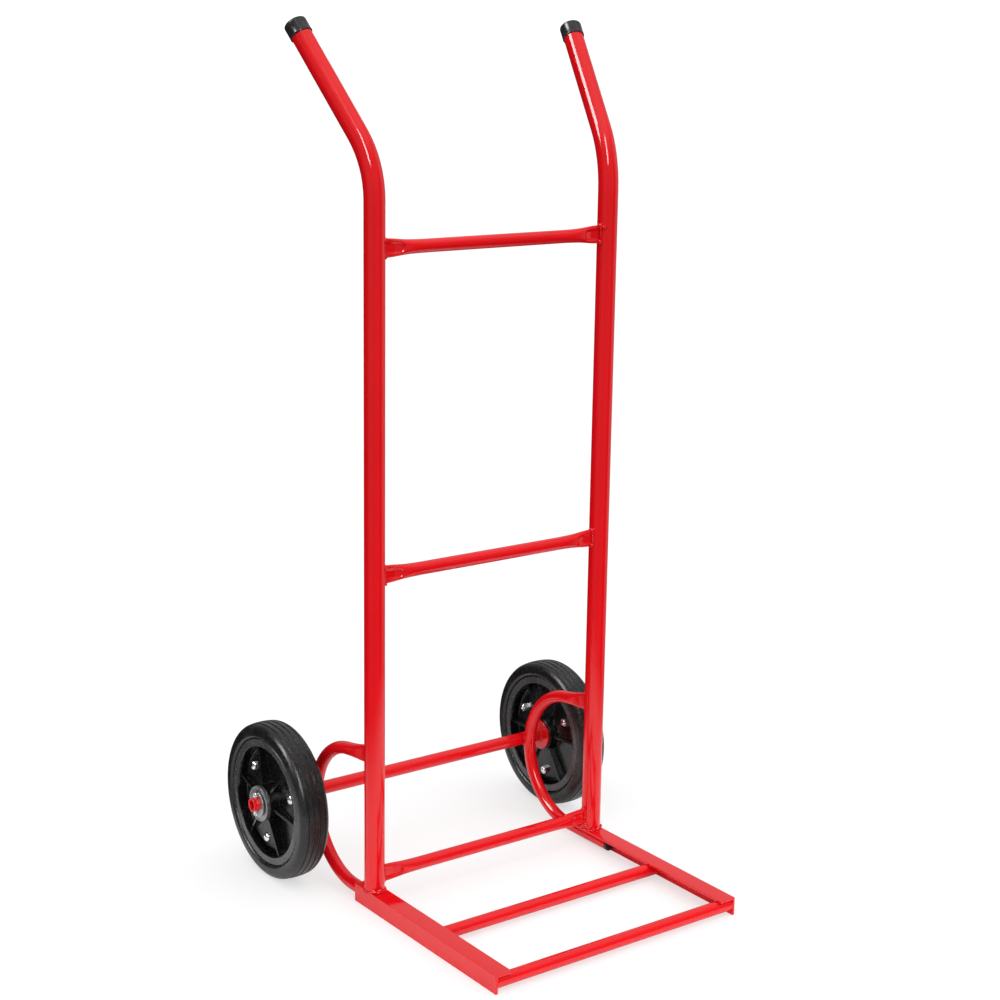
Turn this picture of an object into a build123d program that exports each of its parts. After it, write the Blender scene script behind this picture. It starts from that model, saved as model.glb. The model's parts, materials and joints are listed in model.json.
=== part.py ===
import math
import os

from build123d import *

# Two-wheeled hand truck: a welded tube frame with a low toe, two solid-tyred wheels and bare tube handles.
# +Z is up, the toe points to -Y, the wheels stand at +Y, and right is +X seen from the toe.
# All lengths are millimetres and all angles are degrees.

# Uprights and handles
upright_spacing = 339.0
upright_diameter = 25.0
upright_wall = 1.5
bend_start_height = 860.0
handle_bend_radius = 115.0
handle_lean = 39.5
handle_splay = 14.0
handle_straight = 153.0

# Handle end caps
cap_wall = 1.3
cap_skirt = 16.2
cap_end_thickness = 2.5
cap_edge_round = 1.6

# Cross bars between the uprights
bar_diameter = 16.0
bar_wall = 1.5
upper_bar_height = 806.0
middle_bar_height = 421.0
lower_bar_height = 41.0

# Tube ends pressed flat for welding
press_length = 33.0
press_flat_run = 5.0
press_inner_gap = 2.0
press_steps = 6

# Toe: two angles joined by two bars
angle_leg = 23.0
angle_thickness = 3.0
angle_edge_round = 0.5
toe_front_reach = 268.0
toe_rear_reach = 28.0
toe_bar_middle_reach = 128.5

# Wheel brackets
bracket_diameter = 16.0
bracket_wall = 1.5
bracket_loop_back = 47.8
bracket_top_rise = 8.5
bracket_front_reach = 37.0
plug_head_length = 4.0
plug_stem_length = 12.0
plug_edge_round = 1.2

# Axle and what holds the wheels on it
axle_diameter = 17.1
axle_bore = 12.5
axle_end_past_pin = 5.3
axle_end_round = 0.5
collar_diameter = 41.0
collar_thickness = 3.0
collar_edge_round = 0.6
washer_diameter = 32.0
washer_thickness = 2.0
washer_bore_clearance = 0.4
washer_edge_round = 0.4
pin_diameter = 3.6
pin_hole_clearance = 0.1
pin_washer_gap = 0.1
pin_eye_wire = 2.0
pin_eye_diameter = 7.4
pin_fork_drop = 1.5
pin_leg_diameter = 1.9
pin_leg_length = 5.0
pin_leg_spread = 22.0

# Wheels
wheel_diameter = 200.0
wheel_offset = 48.5
wheel_float = 0.3
running_clearance = 0.05
wheel_turn_right = 27.0
wheel_turn_left = 40.0

# Tyre
tyre_width = 40.0
tyre_side_height = 19.5
tyre_crown_radius = 80.0
tyre_shoulder_round = 9.5
tyre_heel_round = 4.5
tyre_lip_gap = 1.0
tread_groove_count = 4
tread_groove_pitch = 7.7
tread_groove_width = 2.0
tread_groove_depth = 1.5

# Hub halves
rim_lip_height = 9.5
rim_lip_width = 4.0
rim_half_width = 17.5
rim_wall = 2.5
rim_draft = 2.0
rim_edge_round = 1.0
web_thickness = 3.5
boss_diameter = 46.0
boss_outer_length = 22.5
boss_inner_length = 17.5
boss_edge_round = 1.0
hub_root_round = 2.0
rib_count = 6
rib_thickness = 3.0
rib_drop = 5.0
rib_rim_drop = 5.0
pad_height = 9.0
pad_rim_gap = 6.5

# Bush
bush_diameter = 24.0
bush_flange_diameter = 45.0
bush_flange_thickness = 3.5
bush_lip_width = 1.8
bush_lip_height = 0.8
bush_edge_round = 0.3

# Hub bolts and nuts
bolt_count = 3
bolt_pad_inset = 9.0
bolt_diameter = 6.0
bolt_hole_clearance = 0.2
bolt_head_diameter = 12.5
bolt_head_height = 4.0
bolt_head_round = 2.2
bolt_past_nut = 1.5
nut_across_flats = 10.0
nut_height = 5.0
nut_bore_clearance = 0.05

# Places that follow from the sizes above
upright_x = upright_spacing / 2
axle_z = wheel_diameter / 2
bracket_run_z = angle_leg - angle_thickness - bracket_diameter / 2
bracket_loop_radius = axle_z - bracket_run_z
angle_inner_x = upright_x + bracket_diameter / 2
angle_outer_x = angle_inner_x + angle_thickness
axle_back = bracket_loop_back + bracket_loop_radius + (bracket_diameter + axle_diameter) / 2
upright_y = (toe_front_reach - axle_back - wheel_diameter / 2) / 2
axle_y = upright_y + axle_back
wheel_x = upright_x + wheel_offset
boss_inner_x = wheel_x - boss_inner_length
flange_outer_x = wheel_x + boss_outer_length + bush_flange_thickness
washer_x = flange_outer_x + bush_lip_height + wheel_float
pin_x = washer_x + washer_thickness + pin_washer_gap + pin_diameter / 2
axle_half_length = pin_x + axle_end_past_pin
rim_lip_diameter = wheel_diameter - 2 * tyre_side_height
rim_opening_diameter = rim_lip_diameter - 2 * rim_lip_height
pad_outer_radius = rim_opening_diameter / 2 - rim_draft - pad_rim_gap
bolt_circle_radius = pad_outer_radius - bolt_pad_inset
channel_radius = rim_opening_diameter / 2 + rim_wall
bead_half_width = rim_half_width - rim_lip_width

os.makedirs("parts", exist_ok=True)


def write(piece, node):
    piece.part.label = node
    export_step(piece.part, f"parts/{node}.step")


def write_pair(right_piece, node):
    with BuildPart() as left_piece:
        mirror(right_piece.part, about=Plane.YZ)
    write(right_piece, f"{node}_right")
    write(left_piece, f"{node}_left")


def pressed_half_sizes(tube_diameter, wall, share):
    # Pressing keeps the tube's girth, so the squares of the two half sizes keep their sum.
    ease = share * share * (3 - 2 * share)
    tube_radius = tube_diameter / 2
    flat_half = press_inner_gap / 2 + wall
    half_thickness = tube_radius + (flat_half - tube_radius) * ease
    half_height = math.sqrt(2 * tube_radius**2 - half_thickness**2)
    return half_height, half_thickness


def press_end(root, tube_diameter, wall, inset, mode):
    # The section is round at the root plane and flat where it meets the upright.
    sections = []
    for step in range(press_steps + 1):
        share = step / press_steps
        half_height, half_thickness = pressed_half_sizes(tube_diameter, wall, share)
        with BuildSketch(root.offset(share * press_length)) as section:
            Ellipse(half_height - inset, half_thickness - inset)
        sections.append(section.sketch.face())
    loft(sections, mode=mode)
    extrude(sections[-1], amount=press_flat_run + upright_diameter / 2, mode=mode)


def cut_to_upright():
    # The tube's end is shaped to the upright it is welded to.
    with BuildSketch(Plane((upright_x, upright_y, angle_leg))) as upright_section:
        Circle(upright_diameter / 2)
    extrude(upright_section.sketch, amount=bend_start_height, mode=Mode.SUBTRACT)


# Uprights, each one tube from the toe to the handle's end
lean = math.radians(handle_lean)
splay = math.radians(handle_splay)
bend_setback = handle_bend_radius * math.tan(lean / 2)
handle_run = bend_setback + handle_straight
bend_corner = (0, bend_start_height + bend_setback)
handle_end = (handle_run * math.sin(lean), bend_corner[1] + handle_run * math.cos(lean))
lean_plane = Plane(
    origin=(upright_x, upright_y, 0),
    x_dir=(math.sin(splay), math.cos(splay), 0),
    z_dir=(math.cos(splay), -math.sin(splay), 0),
)

with BuildPart() as upright:
    with BuildLine(lean_plane) as upright_path:
        FilletPolyline((0, angle_leg), bend_corner, handle_end, radius=handle_bend_radius)
    with BuildSketch(Plane((upright_x, upright_y, angle_leg))):
        Circle(upright_diameter / 2)
        Circle(upright_diameter / 2 - upright_wall, mode=Mode.SUBTRACT)
    sweep()
write_pair(upright, "upright")

# Handle caps, pushed over the tube ends
cap_plane = Plane(upright_path.line @ 1, z_dir=upright_path.line % 1)

with BuildPart() as handle_cap:
    with BuildSketch(cap_plane.offset(-cap_skirt)):
        Circle(upright_diameter / 2 + cap_wall)
    extrude(amount=cap_skirt + cap_end_thickness)
    cap_end_edge = edges().filter_by(GeomType.CIRCLE).sort_by(Axis(cap_plane.origin, cap_plane.z_dir))[-1]
    fillet(cap_end_edge, radius=cap_edge_round)
    with BuildSketch(cap_plane.offset(-cap_skirt)):
        Circle(upright_diameter / 2)
    extrude(amount=cap_skirt, mode=Mode.SUBTRACT)
write_pair(handle_cap, "handle_cap")

# Cross bars, made as one half and its mirror image
bar_round_half = upright_x - upright_diameter / 2 - press_flat_run - press_length

for bar_name, bar_height in (
    ("upper", upper_bar_height),
    ("middle", middle_bar_height),
    ("lower", lower_bar_height),
):
    bar_middle = Plane((0, upright_y, bar_height), x_dir=(0, 0, 1), z_dir=(1, 0, 0))
    bar_press_root = bar_middle.offset(bar_round_half)
    with BuildPart() as cross_bar:
        with BuildSketch(bar_middle):
            Circle(bar_diameter / 2)
        extrude(amount=bar_round_half)
        press_end(bar_press_root, bar_diameter, bar_wall, 0, Mode.ADD)
        with BuildSketch(bar_middle):
            Circle(bar_diameter / 2 - bar_wall)
        extrude(amount=bar_round_half, mode=Mode.SUBTRACT)
        press_end(bar_press_root, bar_diameter, bar_wall, bar_wall, Mode.SUBTRACT)
        cut_to_upright()
        mirror(about=Plane.YZ)
    write(cross_bar, f"cross_bar_{bar_name}")

# Toe angles, one leg flat under the load and one leg down to the floor
toe_front_y = upright_y - toe_front_reach
toe_length = toe_front_reach + toe_rear_reach
angle_corner_x = angle_outer_x - angle_leg

with BuildPart() as toe_angle:
    with BuildSketch(Plane((0, toe_front_y, 0), x_dir=(1, 0, 0), z_dir=(0, -1, 0))) as angle_section:
        with BuildLine():
            Polyline(
                (angle_corner_x, angle_leg),
                (angle_outer_x, angle_leg),
                (angle_outer_x, 0),
                (angle_inner_x, 0),
                (angle_inner_x, angle_leg - angle_thickness),
                (angle_corner_x, angle_leg - angle_thickness),
                close=True,
            )
        make_face()
        angle_corners = vertices().sort_by_distance((angle_inner_x, angle_leg - angle_thickness))
        fillet(angle_corners[1:], radius=angle_edge_round)
    extrude(amount=-toe_length)
write_pair(toe_angle, "toe_angle")

# Toe bars, between the angles' upright legs and under their flat legs
toe_bar_z = angle_leg - angle_thickness - bar_diameter / 2

for bar_name, bar_reach in (
    ("middle", toe_bar_middle_reach),
    ("front", toe_front_reach - bar_diameter / 2),
):
    with BuildPart() as toe_bar:
        with BuildSketch(Plane((0, upright_y - bar_reach, toe_bar_z), z_dir=(1, 0, 0))):
            Circle(bar_diameter / 2)
            Circle(bar_diameter / 2 - bar_wall, mode=Mode.SUBTRACT)
        extrude(amount=angle_inner_x, both=True)
    write(toe_bar, f"toe_bar_{bar_name}")

# Wheel brackets: under the angle, round the back and up to the upright
bracket_plane = Plane((upright_x, upright_y, 0), x_dir=(0, 1, 0), z_dir=(1, 0, 0))
rise = math.radians(bracket_top_rise)
loop_end_back = bracket_loop_back + bracket_loop_radius * math.sin(rise)
top_run = (loop_end_back - upright_diameter / 2) / math.cos(rise)
top_round_run = top_run - press_flat_run - press_length

with BuildLine(bracket_plane) as bracket_path:
    Line((-bracket_front_reach, bracket_run_z), (bracket_loop_back, bracket_run_z))
    loop = CenterArc((bracket_loop_back, axle_z), bracket_loop_radius, -90, 180 - bracket_top_rise)
    Line(loop @ 1, loop @ 1 + (loop % 1) * top_round_run)
bracket_start = Plane(bracket_path.line @ 0, x_dir=(1, 0, 0), z_dir=bracket_path.line % 0)
bracket_press_side = bracket_plane.z_dir.cross(bracket_path.line % 1)
bracket_press_root = Plane(bracket_path.line @ 1, x_dir=bracket_press_side, z_dir=bracket_path.line % 1)

with BuildPart() as wheel_bracket:
    with BuildSketch(bracket_start):
        Circle(bracket_diameter / 2)
    sweep(path=bracket_path.line)
    press_end(bracket_press_root, bracket_diameter, bracket_wall, 0, Mode.ADD)
    with BuildSketch(bracket_start):
        Circle(bracket_diameter / 2 - bracket_wall)
    sweep(path=bracket_path.line, mode=Mode.SUBTRACT)
    press_end(bracket_press_root, bracket_diameter, bracket_wall, bracket_wall, Mode.SUBTRACT)
    cut_to_upright()
write_pair(wheel_bracket, "wheel_bracket")

# Bracket plugs, closing the brackets' front ends
with BuildPart() as bracket_plug:
    with BuildSketch(bracket_start):
        Circle(bracket_diameter / 2)
    extrude(amount=-plug_head_length)
    fillet(edges().sort_by(Axis.Y)[0], radius=plug_edge_round)
    with BuildSketch(bracket_start):
        Circle(bracket_diameter / 2 - bracket_wall)
    extrude(amount=plug_stem_length)
write_pair(bracket_plug, "bracket_plug")

# Axle, one tube across both brackets with a pin hole near each end
with BuildPart() as axle:
    with BuildSketch(Plane((0, axle_y, axle_z), z_dir=(1, 0, 0))):
        Circle(axle_diameter / 2)
        Circle(axle_bore / 2, mode=Mode.SUBTRACT)
    extrude(amount=axle_half_length, both=True)
    fillet(edges().filter_by(GeomType.CIRCLE), radius=axle_end_round)
    with BuildSketch(Plane.XY.offset(axle_z)):
        with Locations((pin_x, axle_y), (-pin_x, axle_y)):
            Circle(pin_diameter / 2 + pin_hole_clearance)
    extrude(amount=axle_diameter, both=True, mode=Mode.SUBTRACT)
write(axle, "axle")

# Axle collars, which stop the wheels on the inside
with BuildPart() as axle_collar:
    with BuildSketch(Plane((boss_inner_x - wheel_float, axle_y, axle_z), z_dir=(1, 0, 0))):
        Circle(collar_diameter / 2)
        Circle(axle_diameter / 2, mode=Mode.SUBTRACT)
    extrude(amount=-collar_thickness)
    fillet(edges().filter_by(GeomType.CIRCLE).sort_by(SortBy.RADIUS)[-2:], radius=collar_edge_round)
write_pair(axle_collar, "axle_collar")

# Washers between the bush flanges and the pins
with BuildPart() as axle_washer:
    with BuildSketch(Plane((washer_x, axle_y, axle_z), z_dir=(1, 0, 0))):
        Circle(washer_diameter / 2)
        Circle(axle_diameter / 2 + washer_bore_clearance, mode=Mode.SUBTRACT)
    extrude(amount=washer_thickness)
    fillet(edges().filter_by(GeomType.CIRCLE).sort_by(SortBy.RADIUS)[-2:], radius=washer_edge_round)
write_pair(axle_washer, "axle_washer")

# Split pins, upright in the axle with the eye on top and the legs spread below
pin_eye_z = axle_z + (axle_diameter + pin_eye_diameter) / 2
pin_fork_z = axle_z - axle_diameter / 2 - pin_fork_drop

with BuildPart() as split_pin:
    with BuildSketch(Plane((pin_x, axle_y, pin_fork_z))):
        Circle(pin_diameter / 2)
    extrude(amount=pin_fork_drop + axle_diameter + pin_eye_wire / 2)
    with Locations(Plane((pin_x, axle_y, pin_eye_z), z_dir=(1, 0, 0))):
        Torus((pin_eye_diameter - pin_eye_wire) / 2, pin_eye_wire / 2)
    for leg_side in (1, -1):
        leg_angle = math.radians(pin_leg_spread * leg_side)
        leg_y = axle_y + leg_side * (pin_diameter - pin_leg_diameter) / 2
        leg_direction = (0, math.sin(leg_angle), -math.cos(leg_angle))
        with BuildSketch(Plane((pin_x, leg_y, pin_fork_z + pin_leg_diameter / 2), z_dir=leg_direction)):
            Circle(pin_leg_diameter / 2)
        extrude(amount=pin_leg_length)
write_pair(split_pin, "split_pin")


def hub_half(outward, centre_x, boss_length, turn):
    # One moulded half, from the wheel's middle plane outwards
    profile_plane = Plane((centre_x, axle_y, axle_z), x_dir=(outward, 0, 0), z_dir=(0, -outward, 0))
    face_plane = Plane((centre_x, axle_y, axle_z), x_dir=(0, 1, 0), z_dir=(outward, 0, 0))
    wheel_axis = Axis((centre_x, axle_y, axle_z), (1, 0, 0))
    wall_radius = rim_opening_diameter / 2 - rim_draft
    rib_foot_radius = boss_diameter / 2 - rib_thickness
    pad_half_width = pad_outer_radius * math.tan(math.pi / rib_count)
    bolt_angle = outward * turn
    with BuildPart() as half:
        with BuildSketch(profile_plane):
            with BuildLine():
                Polyline(
                    (0, bush_diameter / 2),
                    (boss_length, bush_diameter / 2),
                    (boss_length, boss_diameter / 2),
                    (web_thickness, boss_diameter / 2),
                    (web_thickness, wall_radius),
                    (rim_half_width, rim_opening_diameter / 2),
                    (rim_half_width, rim_lip_diameter / 2),
                    (bead_half_width, rim_lip_diameter / 2),
                    (bead_half_width, channel_radius),
                    (0, channel_radius),
                    close=True,
                )
            make_face()
            for corner, corner_round in (
                ((boss_length, boss_diameter / 2), boss_edge_round),
                ((rim_half_width, rim_opening_diameter / 2), rim_edge_round),
                ((rim_half_width, rim_lip_diameter / 2), rim_edge_round),
                ((web_thickness, boss_diameter / 2), hub_root_round),
                ((web_thickness, wall_radius), hub_root_round),
            ):
                fillet(vertices().sort_by_distance(corner)[0], radius=corner_round)
        revolve(axis=wheel_axis)
        for rib in range(rib_count):
            rib_angle = math.radians(turn + (rib + 0.5) * 360 / rib_count)
            rib_side = (0, -outward * math.sin(rib_angle), outward * math.cos(rib_angle))
            with BuildSketch(Plane(profile_plane.origin, x_dir=profile_plane.x_dir, z_dir=rib_side)):
                with BuildLine():
                    Polyline(
                        (web_thickness / 2, rib_foot_radius),
                        (boss_length - rib_drop, rib_foot_radius),
                        (rim_half_width - rib_rim_drop, wall_radius + rim_draft / 2),
                        (web_thickness / 2, wall_radius + rim_draft / 2),
                        close=True,
                    )
                make_face()
            extrude(amount=rib_thickness / 2, both=True)
        with BuildSketch(face_plane):
            with PolarLocations(0, bolt_count, start_angle=bolt_angle):
                Polygon(
                    (0, 0),
                    (pad_outer_radius, -pad_half_width),
                    (pad_outer_radius, pad_half_width),
                    align=None,
                )
            Circle(pad_outer_radius, mode=Mode.INTERSECT)
            Circle(rib_foot_radius, mode=Mode.SUBTRACT)
        extrude(amount=pad_height)
        with BuildSketch(face_plane):
            with PolarLocations(bolt_circle_radius, bolt_count, start_angle=bolt_angle):
                Circle(bolt_diameter / 2 + bolt_hole_clearance)
        extrude(amount=pad_height, mode=Mode.SUBTRACT)
    return half


# The tread is a shallow arc across the tyre's width
heel_radius = rim_lip_diameter / 2 + tyre_lip_gap
crown_centre = wheel_diameter / 2 - tyre_crown_radius
shoulder_angle = math.degrees(math.asin(tyre_width / 2 / tyre_crown_radius))


def crown_height(across):
    return crown_centre + math.sqrt(tyre_crown_radius**2 - across**2)


for side_name, side, turn in (("right", 1, wheel_turn_right), ("left", -1, wheel_turn_left)):
    centre = (side * wheel_x, axle_y, axle_z)
    wheel_profile = Plane(centre, x_dir=(side, 0, 0), z_dir=(0, -side, 0))
    wheel_face = Plane(centre, x_dir=(0, 1, 0), z_dir=(side, 0, 0))
    spin_axis = Axis(centre, (1, 0, 0))
    bolt_turn = side * turn

    # Tyre, one solid ring of rubber seated in the rim's channel
    with BuildPart() as tyre:
        with BuildSketch(wheel_profile):
            with BuildLine():
                Polyline(
                    (0, wheel_diameter / 2),
                    (0, channel_radius),
                    (bead_half_width, channel_radius),
                    (bead_half_width, heel_radius),
                    (tyre_width / 2, heel_radius),
                    (tyre_width / 2, crown_height(tyre_width / 2)),
                )
                CenterArc((0, crown_centre), tyre_crown_radius, 90 - shoulder_angle, shoulder_angle)
            make_face()
            for corner, corner_round in (
                ((tyre_width / 2, heel_radius), tyre_heel_round),
                ((tyre_width / 2, crown_height(tyre_width / 2)), tyre_shoulder_round),
            ):
                fillet(vertices().sort_by_distance(corner)[0], radius=corner_round)
            mirror(about=Plane.YZ)
            for groove in range(tread_groove_count):
                groove_shift = (groove - (tread_groove_count - 1) / 2) * tread_groove_pitch
                with Locations((groove_shift, crown_height(groove_shift))):
                    Rectangle(tread_groove_width, 2 * tread_groove_depth, mode=Mode.SUBTRACT)
        revolve(axis=spin_axis)
    write(tyre, f"tyre_{side_name}")

    # Hub halves, clamped round the tyre's base
    outer_half = hub_half(side, centre[0], boss_outer_length, turn)
    write(outer_half, f"hub_outer_half_{side_name}")
    inner_half = hub_half(-side, centre[0], boss_inner_length, turn)
    write(inner_half, f"hub_inner_half_{side_name}")

    # Bush, a sleeve through the hub with a flange on the outside
    with BuildPart() as bush:
        with BuildSketch(wheel_profile):
            with BuildLine():
                flange_foot = boss_outer_length
                flange_face = flange_foot + bush_flange_thickness
                lip_radius = bush_flange_diameter / 2 - bush_lip_width
                bore_radius = axle_diameter / 2 + running_clearance
                Polyline(
                    (-boss_inner_length, bore_radius),
                    (flange_face, bore_radius),
                    (flange_face, lip_radius),
                    (flange_face + bush_lip_height, lip_radius),
                    (flange_face + bush_lip_height, bush_flange_diameter / 2),
                    (flange_foot, bush_flange_diameter / 2),
                    (flange_foot, bush_diameter / 2),
                    (-boss_inner_length, bush_diameter / 2),
                    close=True,
                )
            make_face()
            fillet(vertices().group_by(Axis.X)[-1], radius=bush_edge_round)
        revolve(axis=spin_axis)
    write(bush, f"wheel_bush_{side_name}")

    # Hub bolts, heads outside
    with BuildPart() as hub_bolts:
        with BuildSketch(wheel_face.offset(-pad_height - nut_height - bolt_past_nut)):
            with PolarLocations(bolt_circle_radius, bolt_count, start_angle=bolt_turn):
                Circle(bolt_diameter / 2)
        extrude(amount=2 * pad_height + nut_height + bolt_past_nut)
        with BuildSketch(wheel_face.offset(pad_height)):
            with PolarLocations(bolt_circle_radius, bolt_count, start_angle=bolt_turn):
                Circle(bolt_head_diameter / 2)
        extrude(amount=bolt_head_height)
        fillet(edges().group_by(Axis(centre, (side, 0, 0)))[-1], radius=bolt_head_round)
    write(hub_bolts, f"hub_bolts_{side_name}")

    # Hub nuts inside
    with BuildPart() as hub_nuts:
        with BuildSketch(wheel_face.offset(-pad_height)):
            with PolarLocations(bolt_circle_radius, bolt_count, start_angle=bolt_turn):
                RegularPolygon(nut_across_flats / 2, 6, major_radius=False)
                Circle(bolt_diameter / 2 + nut_bore_clearance, mode=Mode.SUBTRACT)
        extrude(amount=-nut_height)
    write(hub_nuts, f"hub_nuts_{side_name}")
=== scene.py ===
import json
import math

import bmesh
import bpy
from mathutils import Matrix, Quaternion, Vector, noise


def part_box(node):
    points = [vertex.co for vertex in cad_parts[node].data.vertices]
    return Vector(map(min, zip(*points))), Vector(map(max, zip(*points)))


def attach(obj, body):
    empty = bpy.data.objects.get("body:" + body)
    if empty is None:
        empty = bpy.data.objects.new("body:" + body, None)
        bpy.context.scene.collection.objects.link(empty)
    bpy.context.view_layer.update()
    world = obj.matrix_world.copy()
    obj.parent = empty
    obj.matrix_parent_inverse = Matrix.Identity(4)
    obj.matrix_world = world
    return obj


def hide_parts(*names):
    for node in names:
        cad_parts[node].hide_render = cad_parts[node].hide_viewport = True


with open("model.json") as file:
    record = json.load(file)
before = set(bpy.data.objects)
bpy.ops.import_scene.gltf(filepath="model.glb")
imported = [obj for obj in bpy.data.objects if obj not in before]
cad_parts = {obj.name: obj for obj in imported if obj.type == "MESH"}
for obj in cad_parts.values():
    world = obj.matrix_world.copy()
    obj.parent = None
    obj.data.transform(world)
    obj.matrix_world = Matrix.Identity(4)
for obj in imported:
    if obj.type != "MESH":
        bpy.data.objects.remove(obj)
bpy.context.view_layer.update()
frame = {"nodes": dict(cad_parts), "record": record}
nodes = frame["nodes"]
mm = 0.001
sides = {"right": 1, "left": -1}  # right is +X

# camera as in the photograph
view = {
    "place": (-1.37568, -1.87537, 1.06215),
    "azimuth": 36.391,
    "elevation": 13.753,
    "roll": 0.882,
    "lens": 70.95,
}


def addCamera():
    azimuth = math.radians(view["azimuth"])
    elevation = math.radians(view["elevation"])
    level = math.cos(elevation)
    ahead = Vector((math.sin(azimuth) * level, math.cos(azimuth) * level, -math.sin(elevation)))
    data = bpy.data.cameras.new("photoCamera")
    data.lens = view["lens"]
    data.sensor_width = 36
    camera = bpy.data.objects.new("photoCamera", data)
    bpy.context.scene.collection.objects.link(camera)
    camera.location = view["place"]
    camera.rotation_mode = "QUATERNION"
    roll = Quaternion((0, 0, 1), math.radians(view["roll"]))
    camera.rotation_quaternion = ahead.to_track_quat("-Z", "Y") @ roll
    bpy.context.scene.camera = camera


addCamera()
print("camera set")


# shader nodes: links take an output socket or a plain value
def addNode(tree, kind, links=None, **settings):
    node = tree.nodes.new("ShaderNode" + kind)
    for name, value in settings.items():
        setattr(node, name, value)
    for socket, source in (links or {}).items():
        if isinstance(source, bpy.types.NodeSocket):
            tree.links.new(source, node.inputs[socket])
        else:
            node.inputs[socket].default_value = source
    return node


def remap(tree, source, low, high, toLow=0.0, toHigh=1.0, smooth=True):
    kind = "SMOOTHSTEP" if smooth else "LINEAR"
    links = {"Value": source, "From Min": low, "From Max": high, "To Min": toLow, "To Max": toHigh}
    return addNode(tree, "MapRange", links, interpolation_type=kind).outputs["Result"]


def mixColour(tree, factor, first, second):
    node = addNode(tree, "Mix", data_type="RGBA")
    for socket, source in ((0, factor), (6, first), (7, second)):
        if isinstance(source, bpy.types.NodeSocket):
            tree.links.new(source, node.inputs[socket])
        else:
            node.inputs[socket].default_value = source
    return node.outputs[2]


def maths(tree, operation, first, second):
    return addNode(tree, "Math", {0: first, 1: second}, operation=operation).outputs[0]


# soft studio light over a white paper floor; headings are degrees from +Y towards +X
studio = {
    "floorSize": 80.0,
    "paperSeen": (0.97, 0.97, 0.97, 1),
    "paperNear": (0.97, 0.97, 0.97, 1),  # what the paper gives back to the object, close by and further off
    "paperFar": (0.16, 0.16, 0.16, 1),
    "paperFade": (0.35, 1.15),
    "paperReach": (0.5, 0.9),  # past this, reflections look into the room
    "paperBack": (0.31, 0.45),  # and past this line behind the wheels
    "paperGlow": 0.6,  # share of the paper that shows white under any shadow
    "skySeen": 1.2,
    "light": {"level": 1.14, "overhead": 0.14, "front": 0.48, "frontHeading": 190},
    "room": {"floor": 0.03, "level": 0.24, "ceiling": 0.85},
    # soft boxes and dark corners as reflections show them: heading, half width, low, high, strength
    "boxes": [
        (213, 6, 24, 52, 20.0),
        (288, 11, 27, 53, 17.0),
        (100, 26, -20, 30, 0.34),
        (38, 30, 10, 44, 0.36),
        (352, 32, -25, 8, -0.21),
        (145, 11, -25, 20, -0.16),
        (314, 27, -25, 48, -0.21),
        (252, 12, -20, 15, 0.10),
    ],
}


def band(tree, value, low, high, soft):
    rise = remap(tree, value, low - soft, low + soft)
    fall = remap(tree, value, high - soft, high + soft, 1.0, 0.0)
    return maths(tree, "MULTIPLY", rise, fall)


def headingCosine(tree, way, heading):
    level = addNode(tree, "VectorMath", {0: way, 1: (1, 1, 0)}, operation="MULTIPLY").outputs["Vector"]
    unit = addNode(tree, "VectorMath", {0: level}, operation="NORMALIZE").outputs["Vector"]
    turn = math.radians(heading)
    towards = (math.sin(turn), math.cos(turn), 0)
    return addNode(tree, "VectorMath", {0: unit, 1: towards}, operation="DOT_PRODUCT").outputs["Value"]


def addFloor():
    bpy.ops.mesh.primitive_plane_add(size=studio["floorSize"])
    floor = bpy.context.object
    floor.name = "studioFloor"
    paper = bpy.data.materials.new("floorPaper")
    paper.use_nodes = True
    tree = paper.node_tree
    shader = tree.nodes["Principled BSDF"]
    shader.inputs["Roughness"].default_value = 0.9
    shader.inputs["Specular IOR Level"].default_value = 0.05
    path = addNode(tree, "LightPath").outputs
    place = addNode(tree, "TexCoord").outputs["Object"]
    away = addNode(tree, "VectorMath", {0: place}, operation="LENGTH").outputs["Value"]
    lit = mixColour(tree, remap(tree, away, *studio["paperFade"]), studio["paperNear"], studio["paperFar"])
    tone = mixColour(tree, path["Is Camera Ray"], lit, studio["paperSeen"])
    tree.links.new(tone, shader.inputs["Base Color"])
    back = addNode(tree, "SeparateXYZ", {0: place}).outputs["Y"]
    gone = maths(tree, "MAXIMUM", remap(tree, away, *studio["paperReach"]), remap(tree, back, *studio["paperBack"]))
    past = maths(tree, "MULTIPLY", gone, path["Is Glossy Ray"])
    glow = addNode(tree, "Emission", {"Color": (1, 1, 1, 1), "Strength": 1.0}).outputs[0]
    lift = maths(tree, "MULTIPLY", path["Is Camera Ray"], studio["paperGlow"])
    seen = addNode(tree, "MixShader", {0: lift, 1: shader.outputs[0], 2: glow}).outputs[0]
    clear = addNode(tree, "BsdfTransparent").outputs[0]
    both = addNode(tree, "MixShader", {0: past, 1: seen, 2: clear})
    tree.links.new(both.outputs[0], tree.nodes["Material Output"].inputs["Surface"])
    floor.data.materials.append(paper)


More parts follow.
